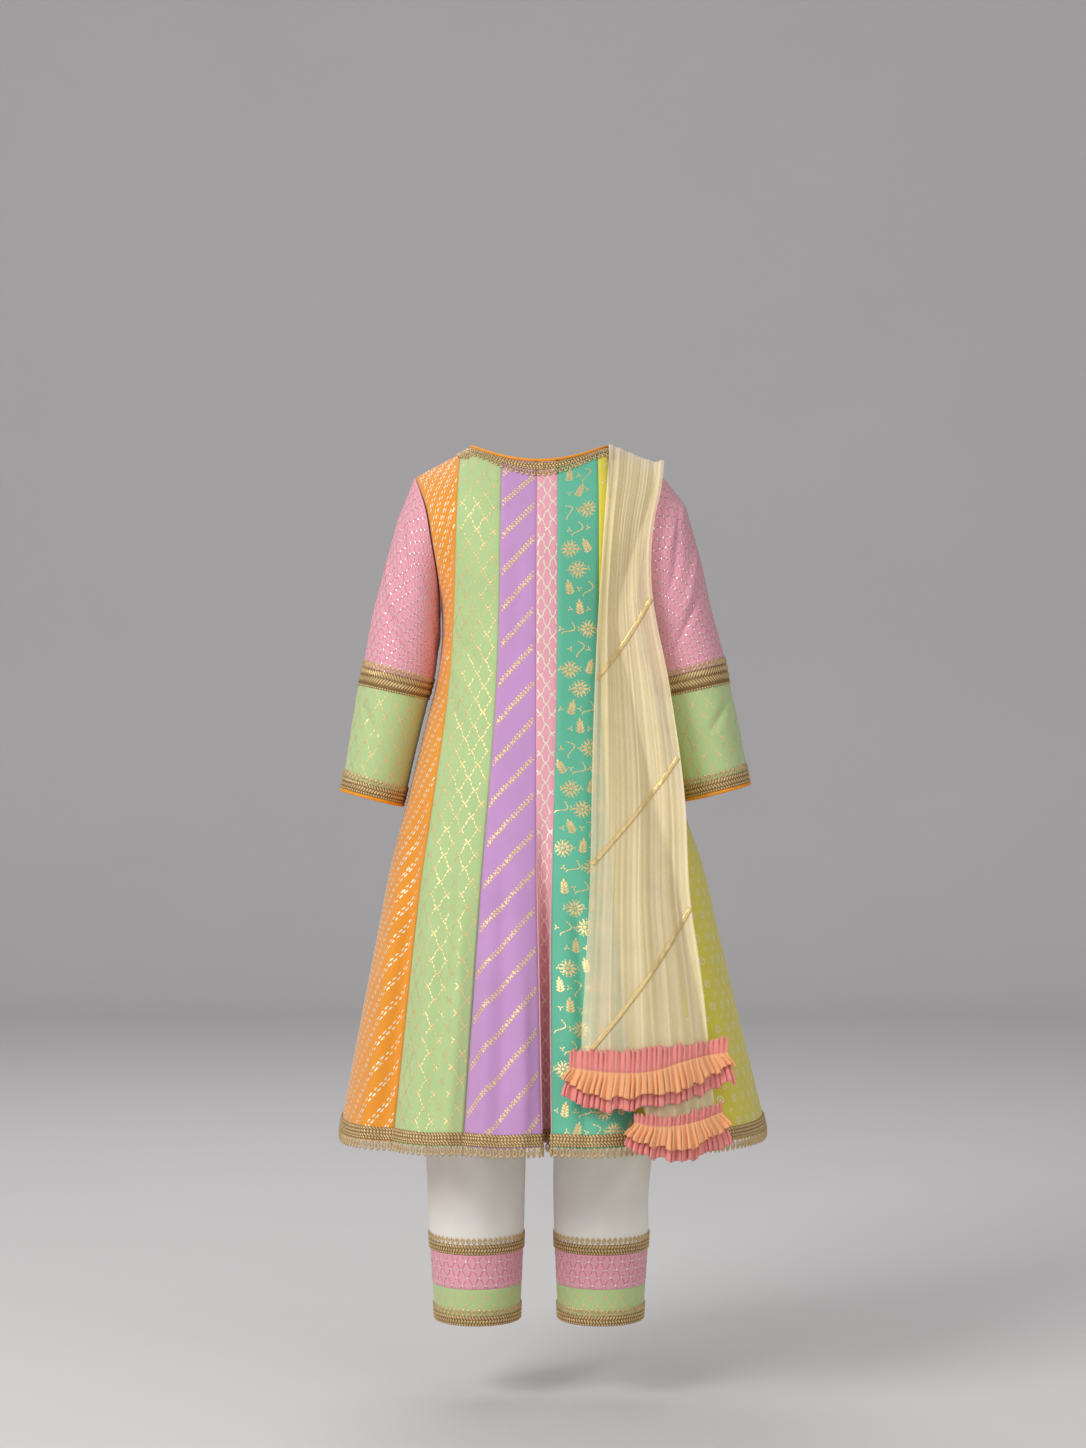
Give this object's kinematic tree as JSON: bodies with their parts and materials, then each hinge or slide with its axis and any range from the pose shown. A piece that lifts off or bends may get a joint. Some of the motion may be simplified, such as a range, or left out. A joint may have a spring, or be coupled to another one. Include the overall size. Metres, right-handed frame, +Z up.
{
  "type": "anarkali set",
  "caption": "Child's anarkali set: flared kurta of coloured panels, long sleeves, gold lace and hanging drops, banded trousers and a pleated net dupatta with ruffled ends.",
  "frame": {"origin": "level with the kurta's side neck points, on the body's centre line, where the shoulders carry it", "axes": "+Z up; the wearer faces -Y, so the back faces +Y; the wearer's left side is +X"},
  "size_m": [0.4472, 0.4017, 0.9177],
  "materials": {
    "orange_cotton": "woven cotton with woven gold-white dashes",
    "green_cotton": "woven cotton with a gold lattice",
    "purple_cotton": "woven cotton with slanting rows of gold sequins",
    "pink_cotton": "woven cotton with a small pale lattice",
    "teal_brocade": "silk blend brocade with gold motifs",
    "yellow_cotton": "tie-dyed cotton with small pale diamonds",
    "gold_lace": "metallic thread lace with drops",
    "orange_piping": "bias-cut cotton piping",
    "white_cotton": "off-white cotton blend with a slight sheen",
    "cream_net": "sheer soft net",
    "pink_net": "gathered net",
    "peach_net": "gathered net"
  },
  "bodies": {
    "root": {"back_green": "green_cotton", "back_hook": "gold_lace", "back_lower_ruffle_peach": "peach_net", "back_lower_ruffle_pink": "pink_net", "back_orange": "orange_cotton", "back_pink": "pink_cotton", "back_purple": "purple_cotton", "back_teal": "teal_brocade", "back_upper_ruffle_peach": "peach_net", "back_upper_ruffle_pink": "pink_net", "back_yellow": "yellow_cotton", "dupatta": "cream_net", "front_green": "green_cotton", "front_orange": "orange_cotton", "front_pink": "pink_cotton", "front_purple": "purple_cotton", "front_ruffle_peach": "peach_net", "front_ruffle_pink": "pink_net", "front_teal": "teal_brocade", "front_yellow": "yellow_cotton", "hem_lace": "gold_lace", "left_cuff_lace": "gold_lace", "left_cuff_piping": "orange_piping", "left_elbow_lace": "gold_lace", "left_leg": "white_cotton", "left_leg_green_band": "green_cotton", "left_leg_hem_lace": "gold_lace", "left_leg_lace": "gold_lace", "left_leg_pink_band": "pink_cotton", "left_sleeve_lower": "green_cotton", "left_sleeve_upper": "pink_cotton", "neck_lace": "gold_lace", "neck_piping": "orange_piping", "right_cuff_lace": "gold_lace", "right_cuff_piping": "orange_piping", "right_elbow_lace": "gold_lace", "right_leg": "white_cotton", "right_leg_green_band": "green_cotton", "right_leg_hem_lace": "gold_lace", "right_leg_lace": "gold_lace", "right_leg_pink_band": "pink_cotton", "right_sleeve_lower": "green_cotton", "right_sleeve_upper": "pink_cotton", "waistband": "white_cotton"}
  },
  "joints": []
}
